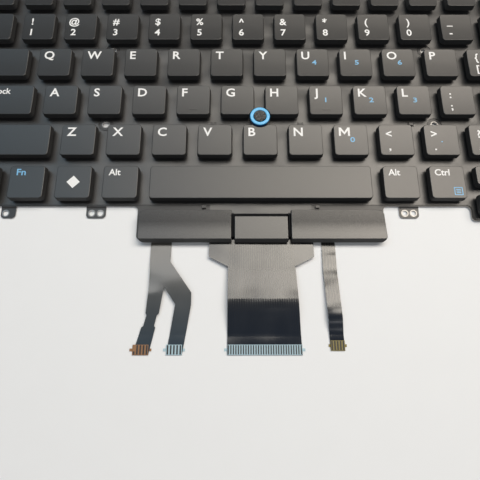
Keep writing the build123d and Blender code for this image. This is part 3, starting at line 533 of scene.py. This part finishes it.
PRINT_THICKNESS = 0.012
LETTER_HEIGHT = 3.9
LETTER_STRETCH = 1.06
WORD_HEIGHT = 2.75
SMALL_WORD_HEIGHT = 2.0
PAIR_HEIGHT = 3.5
BLOCK_HEIGHT = 2.3
SIGN_LEFT = 2.1
SIGN_REAR = 1.3
PAIR_MIDDLE = 4.0
PAIR_REAR = 2.4
PAIR_DROP = 5.8
BLOCK_PLACE = (6.7, 8.0)
BLOCK_STRETCH = 1.3
STROKE_WEIGHT = 0.02


def outline_shape(corners, turn=0.0):
    """Flat polygon of unit thickness."""
    plate = bmesh.new()
    spin = Matrix.Rotation(math.radians(turn), 3, "Z")
    rings = []
    for level in (-0.5, 0.5):
        rings.append([plate.verts.new(spin @ Vector((*corner, level))) for corner in corners])
    add_ring_faces(plate, rings)
    mesh = bpy.data.meshes.new("outline")
    plate.to_mesh(mesh)
    plate.free()
    return mesh


# Height of a capital letter in the built-in font, with the stroke weight above
CAPITAL = 0.72

# A plain wide M in shares of its height, because the built-in one has faults when it is made bolder
M_STROKE = 0.2
M_WIDTH = 1.12
M_HALF = [(0, 0), (M_STROKE, 0), (M_STROKE, 0.64), (M_WIDTH / 2, 0.16)]
M_CREST = [(M_WIDTH / 2, 0.46), (M_STROKE * 1.1, 1), (0, 1)]


def text_shape(text):
    """Flat solid letters in font units, from the left end of their base line."""
    if text == "M":
        mirrored = [(M_WIDTH - x, y) for x, y in M_HALF[:3][::-1] + M_CREST[1:][::-1]]
        corners = M_HALF + mirrored + M_CREST
        return outline_shape([(x * CAPITAL, y * CAPITAL) for x, y in corners])
    curve = bpy.data.curves.new("sign", "FONT")
    curve.body = text
    curve.offset = STROKE_WEIGHT
    curve.extrude = 0.5
    curve.resolution_u = 3
    holder = bpy.data.objects.new("sign", curve)
    bpy.context.scene.collection.objects.link(holder)
    bpy.context.view_layer.update()
    mesh = bpy.data.meshes.new_from_object(holder.evaluated_get(bpy.context.evaluated_depsgraph_get()))
    bpy.data.objects.remove(holder)
    bpy.data.curves.remove(curve)
    return mesh


class Print:
    """Signs in one colour on the tops of the caps of one CAD node."""

    def __init__(self, node):
        self.surface = Surface(node)
        self.shape = bmesh.new()

    def add_mesh(self, mesh, x, y, scale, stretch=1.0):
        """Adds flat geometry at a place, with its thickness set across the cap's top."""
        first = len(self.shape.verts)
        self.shape.from_mesh(mesh)
        self.shape.verts.ensure_lookup_table()
        thickness = 2 * PRINT_THICKNESS * MM
        for vertex in self.shape.verts[first:]:
            vertex.co.x = (x + vertex.co.x * scale * stretch) * MM
            vertex.co.y = (y + vertex.co.y * scale) * MM
            vertex.co.z = self.surface.height(vertex.co.x, vertex.co.y) + vertex.co.z * thickness

    def add_text(self, text, x, y, height, stretch=1.0, anchor=0.0):
        """Adds a sign with its top at y, and with x at its left end (anchor 0) or at its middle (0.5)."""
        mesh = text_shape(text)
        ends = [vertex.co.x for vertex in mesh.vertices]
        start = min(ends) + (max(ends) - min(ends)) * anchor
        scale = height / CAPITAL
        self.add_mesh(mesh, x - start * scale * stretch, y - height, scale, stretch)

    def add_outline(self, corners, x, y, scale, turn=0.0):
        """Adds a flat polygon around a place."""
        self.add_mesh(outline_shape(corners, turn), x, y, scale)

    def finish(self, name, finish, body):
        add_piece(name, self.shape, finish, body)


def print_signs(sheet, key):
    """The white signs of a key: one letter, one word, or an upper and a lower sign."""
    x = key.left + SIGN_LEFT
    y = key.rear - SIGN_REAR
    if len(key.signs) == 2:
        for row, sign in enumerate(key.signs):
            place = (key.left + PAIR_MIDDLE, key.rear - PAIR_REAR - row * PAIR_DROP)
            sheet.add_text(sign, *place, PAIR_HEIGHT, anchor=0.5)
    elif key.signs and len(key.signs[0]) == 1:
        sheet.add_text(key.signs[0], x, y, LETTER_HEIGHT, LETTER_STRETCH)
    elif key.signs:
        word_height = WORD_HEIGHT if key.depth == cap_depth else SMALL_WORD_HEIGHT
        sheet.add_text(key.signs[0], x, y, word_height)


DIAMOND = [(-0.5, 0.0), (0.0, -0.5), (0.5, 0.0), (0.0, 0.5)]
DIAMOND_SIZE = 5.4
ARROW = [(0.0, 0.5), (-0.5, -0.4), (0.5, -0.4)]
ARROW_SIZE = 2.6
MENU_PLACE = (10.8, 11.0)
MENU_SIZE = 3.5
MENU_LINE = 0.1
MENU_ROWS = (-0.2, 0.0, 0.2)
MENU_ROW_WIDTH = 0.5
FN_LEFT = 2.7
FN_STRETCH = 1.12


def add_bar(sheet, x, y, width, height, scale, place):
    """Adds a rectangle, in shares of the scale from a place."""
    corners = [(x - width / 2, y - height / 2), (x + width / 2, y - height / 2)]
    corners += [(x + width / 2, y + height / 2), (x - width / 2, y + height / 2)]
    sheet.add_outline(corners, *place, scale)


def print_menu(sheet, key):
    """A list in a square frame."""
    place = (key.left + MENU_PLACE[0], key.rear - MENU_PLACE[1])
    edge = 0.5 - MENU_LINE / 2
    for side in (-edge, edge):
        add_bar(sheet, 0, side, 1.0, MENU_LINE, MENU_SIZE, place)
        add_bar(sheet, side, 0, MENU_LINE, 1.0 - 2 * MENU_LINE, MENU_SIZE, place)
    for row in MENU_ROWS:
        add_bar(sheet, 0, row, MENU_ROW_WIDTH, MENU_LINE, MENU_SIZE, place)


def print_blue(sheet, key):
    if key.name == "fn":
        sheet.add_text("Fn", key.left + FN_LEFT, key.rear - SIGN_REAR, WORD_HEIGHT, FN_STRETCH)
    elif key.name == "ctrl_right":
        print_menu(sheet, key)
    else:
        x, y = BLOCK_PLACE
        place = (key.left + x, key.rear - y + BLOCK_HEIGHT)
        sheet.add_text(NUMBER_BLOCK[key.name], *place, BLOCK_HEIGHT, BLOCK_STRETCH)


def has_blue(key):
    return key.name in ("fn", "ctrl_right") or key.name in NUMBER_BLOCK


def print_key(sheet, key):
    print_signs(sheet, key)
    if key.name == "system":
        sheet.add_outline(DIAMOND, key.x, key.y, DIAMOND_SIZE)
    elif key.name in ARROW_TURNS:
        sheet.add_outline(ARROW, key.x, key.y, ARROW_SIZE, ARROW_TURNS[key.name])


for key in moving_keys:
    node = f"key_{key.name}"
    body = f"{key.name}_cap"
    if key.signs or key.name == "system" or key.name in ARROW_TURNS:
        sheet = Print(node)
        print_key(sheet, key)
        sheet.finish(f"sign_{key.name}", white_print, body)
    if has_blue(key):
        sheet = Print(node)
        print_blue(sheet, key)
        sheet.finish(f"blue_sign_{key.name}", blue_print, body)
for node, keys in fixed_rows.items():
    sheet = Print(node)
    for key in keys:
        print_key(sheet, key)
    sheet.finish(f"signs_{node}", white_print, "base")
    blue_keys = [key for key in keys if has_blue(key)]
    if blue_keys:
        sheet = Print(node)
        for key in blue_keys:
            print_blue(sheet, key)
        sheet.finish(f"blue_signs_{node}", blue_print, "base")


# Conductors and contacts of the ribbons

RIDGE_HEIGHT = 0.015
RIDGE_SINK = 0.02
RIDGE_TOP_SHARE = 0.8
FLAT_TOP_SHARE = 0.98
RIDGE_STEP = 1.0
FILM_RISE = 0.02
FINGER_RISE = 0.05
FINGER_SHARE = 0.5
FINGER_MARGIN = 0.2
FILM_MARGIN = 0.05


def add_ridge(shape, surface, route, width, rise, top_share=RIDGE_TOP_SHARE):
    """Flat-topped ridge on a ribbon, along a route of plan points."""
    rings = []
    for (x0, y0), (x1, y1) in zip(route, route[1:]):
        steps = max(1, round(abs(y1 - y0) / RIDGE_STEP))
        for n in range(steps + (route[-1] == (x1, y1))):
            x = x0 + (x1 - x0) * n / steps
            y = y0 + (y1 - y0) * n / steps
            z = surface.height(x * MM, y * MM)
            if z is None:
                continue
            section = [(-width / 2, -RIDGE_SINK), (width / 2, -RIDGE_SINK)]
            section += [(width / 2 * top_share, rise), (-width / 2 * top_share, rise)]
            rings.append([shape.verts.new(((x + dx) * MM, y * MM, z + dz * MM)) for dx, dz in section])
    add_ring_faces(shape, rings)


def from_stick(x, y):
    """Plan point from the stick's axis and the apron's front edge."""
    return (stick_x + x, apron_front + y)


def shares(count):
    """Places of a row of lines across a ribbon, from -0.5 to 0.5."""
    return [(n + 0.5) / count - 0.5 for n in range(count)]


MAIN_LINES = 30
MAIN_LINE_WIDTH = 0.4
BACKLIGHT_LINES = 5
BACKLIGHT_LINE_WIDTH = 0.7
POINTER_CONTACTS = 5
main_top = Surface("membrane")
pointer_top = Surface("pointer_flex")
backlight_top = Surface("backlight_flex")

main_lines = bmesh.new()
for share in shares(MAIN_LINES):
    waist = from_stick(share * TAIL_WIDTH, -TAIL_SHOULDER)
    end = from_stick(TAIL_END_SHIFT + share * TAIL_END_WIDTH, STIFFENER_LENGTH - TAIL_LENGTH)
    route = [from_stick(share * TAIL_WIDTH, 0), waist, end]
    add_ridge(main_lines, main_top, route, MAIN_LINE_WIDTH, RIDGE_HEIGHT)
add_piece("main_conductors", main_lines, main_conductor, "base")

backlight_lines = bmesh.new()
for share in shares(BACKLIGHT_LINES):
    x = share * BACKLIGHT_WIDTH
    route = [from_stick(BACKLIGHT_ROOT + x, 0), from_stick(BACKLIGHT_ROOT + x, -BACKLIGHT_BEND)]
    route += [from_stick(BACKLIGHT_END + x, STIFFENER_LENGTH - BACKLIGHT_LENGTH)]
    add_ridge(backlight_lines, backlight_top, route, BACKLIGHT_LINE_WIDTH, RIDGE_HEIGHT)
add_piece("backlight_conductors", backlight_lines, strip_conductor, "base")


def add_contact_end(name, surface, middle, width, length, count, film):
    """Film and dark contact fingers on the end of a ribbon."""
    front = FILM_MARGIN - length
    rear = STIFFENER_LENGTH - length
    pad = bmesh.new()
    route = [from_stick(middle, rear), from_stick(middle, front)]
    add_ridge(pad, surface, route, width, FILM_RISE, FLAT_TOP_SHARE)
    add_piece(f"{name}_contact_film", pad, film, "base")
    fingers = bmesh.new()
    pitch = width / count
    for share in shares(count):
        x = middle + share * width
        route = [from_stick(x, rear - FINGER_MARGIN), from_stick(x, front + FINGER_MARGIN)]
        add_ridge(fingers, surface, route, pitch * FINGER_SHARE, FINGER_RISE, FLAT_TOP_SHARE)
    add_piece(f"{name}_contact_fingers", fingers, carbon, "base")


add_contact_end("main", main_top, TAIL_END_SHIFT, TAIL_END_WIDTH, TAIL_LENGTH, MAIN_LINES, clear_film)
pointer_ends = [("left", POINTER_LEFT_END, amber_film), ("right", POINTER_RIGHT_END, clear_film)]
for side, middle, film in pointer_ends:
    place = (middle, POINTER_END_WIDTH, TAIL_LENGTH)
    add_contact_end(f"pointer_{side}", pointer_top, *place, POINTER_CONTACTS, film)
place = (BACKLIGHT_END, BACKLIGHT_WIDTH, BACKLIGHT_LENGTH)
add_contact_end("backlight", backlight_top, *place, BACKLIGHT_LINES, olive_film)


# Bare rims around the holes of the plate

RIM_WIDTH = 0.4
RIM_RISE = 0.03
RIM_SIDES = 28


def add_rim(shape, surface, x, y, radius):
    """Thin flat ring around a hole."""
    z = surface.height((x + radius + RIM_WIDTH / 2) * MM, y * MM)
    outer = radius + RIM_WIDTH
    section = [(radius, -RIM_RISE), (radius, RIM_RISE), (outer, RIM_RISE), (outer, -RIM_RISE)]
    rings = [circle(shape, x, y, reach, z + level * MM, RIM_SIDES) for reach, level in section]
    for ring, following in zip(rings, rings[1:] + rings[:1]):
        for n in range(RIM_SIDES):
            after = (n + 1) % RIM_SIDES
            shape.faces.new((ring[n], ring[after], following[after], following[n]))


plate_surface = Surface("base_plate")
rims = bmesh.new()
for units in SCREW_UNITS:
    for row in SCREW_ROWS:
        add_rim(rims, plate_surface, stick_x + units * KEY_PITCH, row_y(row), SCREW_HOLE_RADIUS)
for x in TAB_HOLES:
    add_rim(rims, plate_surface, stick_x + x, tab_hole_y, TAB_HOLE_RADIUS)
add_piece("hole_rims", rims, bare_steel, "base")


# Grip of the pointing stick

GRIP_RADIUS = 2.3
GRIP_PITCH = 0.6
GRIP_HEIGHT = 0.14
GRIP_SIDES = 7
GRIP_SEED = 4
# How far a bump may leave its place and how large it may be, as shares, and its rings: width and height
GRIP_SHIFT = 0.2
GRIP_SIZES = (0.8, 1.25)
GRIP_PROFILE = ((0.62, -0.2), (0.5, 0.55), (0.22, 1.0))

grip = bmesh.new()
grip_top = Surface("stick_cap")
chance = random.Random(GRIP_SEED)
rows = math.ceil(GRIP_RADIUS / GRIP_PITCH)
for row in range(-rows, rows + 1):
    for column in range(-rows, rows + 1):
        x = (column + row % 2 / 2 + chance.uniform(-GRIP_SHIFT, GRIP_SHIFT)) * GRIP_PITCH
        y = (row + chance.uniform(-GRIP_SHIFT, GRIP_SHIFT)) * GRIP_PITCH
        size = chance.uniform(*GRIP_SIZES)
        if math.hypot(x, y) > GRIP_RADIUS:
            continue
        z = grip_top.height((stick_x + x) * MM, (stick_y + y) * MM)
        rings = []
        for share, rise in GRIP_PROFILE:
            radius = share * size * GRIP_PITCH
            level = z + rise * size * GRIP_HEIGHT * MM
            rings.append(circle(grip, stick_x + x, stick_y + y, radius, level, GRIP_SIDES))
        add_ring_faces(grip, rings)
add_piece("stick_grip", grip, finishes["stick_rubber"], "base")


# Rubber domes, split into a piece under each moving cap and one piece for the rest

SAME_PLACE = 0.0001

press_joints = {f"key_{key.name}": f"{key.name}_press" for key in moving_keys}
for side in ("left", "middle", "right"):
    press_joints[f"{side}_mouse_button"] = f"{side}_mouse_button_press"
cap_boxes = {cap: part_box(cap) for cap in press_joints}
dome_mesh = nodes["rubber_domes"].data


def cap_above(place):
    """Name of the moving cap over a place, or None."""
    for cap, (low, high) in cap_boxes.items():
        if low[0] < place.x < high[0] and low[1] < place.y < high[1]:
            return cap
    return None


def copy_faces(mesh, faces):
    """Some faces of a mesh as a bmesh, joined where their corners meet."""
    shape = bmesh.new()
    corners = {}
    for face in faces:
        for index in face.vertices:
            if index not in corners:
                corners[index] = shape.verts.new(mesh.vertices[index].co)
        shape.faces.new([corners[index] for index in face.vertices])
    bmesh.ops.remove_doubles(shape, verts=shape.verts, dist=SAME_PLACE * MM)
    return shape


dome_faces = {}
for face in dome_mesh.polygons:
    dome_faces.setdefault(cap_above(face.center), []).append(face)
for cap, faces in dome_faces.items():
    shape = copy_faces(dome_mesh, faces)
    name = f"dome_{cap}" if cap else "other_domes"
    piece = add_piece(name, shape, finishes["dome_rubber"], "base")
    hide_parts("rubber_domes")
    if cap:
        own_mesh(piece)


# Studio

CAMERA_PLACE = (-23.31, -110.16, 156.54)
CAMERA_TILT = 15.16
CAMERA_YAW = 0.19
CAMERA_LENS = 30.13
SENSOR = 36.0
CLIP_START = 0.005
FLOOR_SIZE = 6.0
FLOOR_COLOUR = (0.77, 0.79, 0.82)
FLOOR_GAP = 0.02

camera_data = bpy.data.cameras.new("camera")
camera_data.lens = CAMERA_LENS
camera_data.sensor_width = SENSOR
camera_data.clip_start = CLIP_START
camera = bpy.data.objects.new("camera", camera_data)
tilt = Matrix.Rotation(math.radians(CAMERA_TILT), 4, "X")
yaw = Matrix.Rotation(math.radians(-CAMERA_YAW), 4, "Y")
camera.matrix_world = Matrix.Translation(Vector(CAMERA_PLACE) * MM) @ tilt @ yaw
bpy.context.scene.collection.objects.link(camera)
bpy.context.scene.camera = camera

floor_shape = bmesh.new()
bmesh.ops.create_grid(floor_shape, x_segments=1, y_segments=1, size=FLOOR_SIZE / 2)
floor_mesh = bpy.data.meshes.new("floor")
floor_shape.to_mesh(floor_mesh)
floor_shape.free()
floor_mesh.materials.append(plain_finish("floor_paint", FLOOR_COLOUR, (0.55, 0.65), 2.0, 0.002, shade=0.98))
floor = bpy.data.objects.new("floor", floor_mesh)
floor.location.z = -FLOOR_GAP * MM
bpy.context.scene.collection.objects.link(floor)


# Lamps, with places and sizes in metres

LAMP_HEIGHT = 1.2
LAMP_FRONT = 0.12
LAMP_REAR = 0.85
STRIP_PLACE = (0.1, -0.85, 0.95)
STRIP_SIZE = (1.4, 0.2)
STRIP_RADIANCE = 1.8
STRIP_COLOUR = (1.0, 0.98, 0.96)
# Softboxes side by side: name, left and right edge in metres, radiance and colour
SOFTBOXES = [
    ("left", -1.3, -0.5, 1.6, (0.58, 0.82, 1.0)),
    ("left_middle", -0.5, -0.12, 2.9, (1.0, 0.98, 0.95)),
    ("middle", -0.12, 0.12, 5.2, (1.0, 0.94, 0.84)),
    ("right_middle", 0.12, 0.38, 6.2, (1.0, 0.93, 0.82)),
    ("bright", 0.38, 0.64, 9.0, (1.0, 0.91, 0.8)),
    ("right", 0.64, 1.3, 7.0, (1.0, 0.91, 0.8)),
]
FRONT_PLACE = (0.0, -1.4, LAMP_HEIGHT)
FRONT_SIZE = (2.8, 0.95)
FRONT_RADIANCE = 0.8
FRONT_COLOUR = (0.95, 0.98, 1.0)
WORLD_COLOUR = (0.9, 0.92, 0.95, 1)
WORLD_STRENGTH = 0.1


def add_lamp(name, place, size, radiance, colour):
    """Flat rectangular lamp that faces down."""
    lamp = bpy.data.lights.new(name, "AREA")
    lamp.shape = "RECTANGLE"
    lamp.size, lamp.size_y = size
    lamp.energy = radiance * math.pi * size[0] * size[1]
    lamp.color = colour
    holder = bpy.data.objects.new(name, lamp)
    holder.location = place
    bpy.context.scene.collection.objects.link(holder)
    return holder


def add_spot(name, place, size, radiance, colour):
    """Lamp that faces the keyboard."""
    lamp = add_lamp(name, place, size, radiance, colour)
    lamp.rotation_euler = (-Vector(place)).to_track_quat("-Z", "Y").to_euler()


def add_softbox(name, left, right, radiance, colour):
    """Lamp under the ceiling, behind the keyboard."""
    place = ((left + right) / 2, (LAMP_FRONT + LAMP_REAR) / 2, LAMP_HEIGHT)
    add_lamp(name, place, (right - left, LAMP_REAR - LAMP_FRONT), radiance, colour)


for name, left, right, radiance, colour in SOFTBOXES:
    add_softbox(f"{name}_softbox", left, right, radiance, colour)
add_spot("front_strip", STRIP_PLACE, STRIP_SIZE, STRIP_RADIANCE, STRIP_COLOUR)
add_lamp("front_softbox", FRONT_PLACE, FRONT_SIZE, FRONT_RADIANCE, FRONT_COLOUR)

world = bpy.data.worlds.new("studio")
world.use_nodes = True
backdrop = world.node_tree.nodes["Background"]
backdrop.inputs["Color"].default_value = WORLD_COLOUR
backdrop.inputs["Strength"].default_value = WORLD_STRENGTH
bpy.context.scene.world = world
bpy.context.scene.view_settings.view_transform = "Standard"
